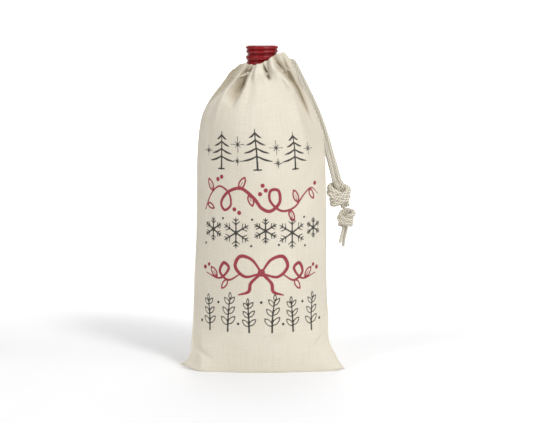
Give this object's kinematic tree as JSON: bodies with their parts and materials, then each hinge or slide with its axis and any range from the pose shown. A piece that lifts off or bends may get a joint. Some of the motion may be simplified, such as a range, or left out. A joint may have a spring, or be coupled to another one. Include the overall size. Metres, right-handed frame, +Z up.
{
  "type": "drawstring wine gift bag",
  "caption": "Flat-sewn cotton canvas drawstring bag cinched round the neck of a screw-capped wine bottle, with a knotted braided cord.",
  "frame": {"origin": "on the floor at the middle of the bag's bottom seam", "axes": "+Z up along the bottle; +X towards the side seam where the drawstring comes out; the printed front panel faces -Y"},
  "size_m": [0.1653, 0.0782, 0.3052],
  "materials": {
    "canvas": "natural cotton canvas, plain weave",
    "sewing_thread": "spun thread",
    "cotton_cord": "braided cotton",
    "bottle_glass": "dark green glass",
    "wine": null,
    "red_cap": "gloss red over aluminium",
    "cap_liner": "smooth"
  },
  "bodies": {
    "bag": {"front_panel": "canvas", "back_panel": "canvas", "front_casing_hem": "canvas", "back_casing_hem": "canvas", "left_seam_allowance": "canvas", "right_seam_allowance": "canvas", "bottom_seam_allowance": "canvas", "front_casing_stitches": "sewing_thread", "back_casing_stitches": "sewing_thread", "bottom_seam_stitches": "sewing_thread", "casing_cord": "cotton_cord"},
    "cord_leads": {"front_cord_lead": "cotton_cord", "back_cord_lead": "cotton_cord"},
    "hanging_cord": {"front_cord": "cotton_cord", "back_cord": "cotton_cord", "upper_knot": "cotton_cord", "lower_knot": "cotton_cord", "front_cord_tail": "cotton_cord", "back_cord_tail": "cotton_cord"},
    "bottle": {"bottle_glass": "bottle_glass", "wine": "wine", "cap_skirt": "red_cap"},
    "cap_carrier": {"cap_liner": "cap_liner"},
    "cap": {"screw_cap": "red_cap"}
  },
  "joints": [
    {"name": "bottle_lift", "type": "slide", "parent": "bag", "child": "bottle", "axis": [0, 0, 1], "range_m": [0, 0.31], "deforming": ["front_panel", "back_panel", "front_casing_hem", "back_casing_hem", "left_seam_allowance", "right_seam_allowance", "front_casing_stitches", "back_casing_stitches", "casing_cord", "front_cord_lead", "back_cord_lead", "front_cord", "back_cord"]},
    {"name": "cap_rise", "type": "slide", "parent": "bottle", "child": "cap_carrier", "axis": [0, 0, 1], "range_m": [0, 0.006]},
    {"name": "cap_turn", "type": "hinge", "parent": "cap_carrier", "child": "cap", "pos_m": [0, 0, 0.295], "axis": [0, 0, 1], "range_deg": [0, 540]},
    {"name": "drawstring_pull", "type": "slide", "parent": "bag", "child": "cord_leads", "axis": [0.4472, 0, -0.8944], "range_m": [0, 0.008], "deforming": ["casing_cord"]},
    {"name": "drawstring_swing", "type": "hinge", "parent": "cord_leads", "child": "hanging_cord", "pos_m": [0.0371, 0.0054, 0.28085], "axis": [0, -1, 0], "range_deg": [0, 60]}
  ],
  "couplings": [
    {"joint": "cap_rise", "follows": "cap_turn", "m_per_rad": 0.000557}
  ]
}
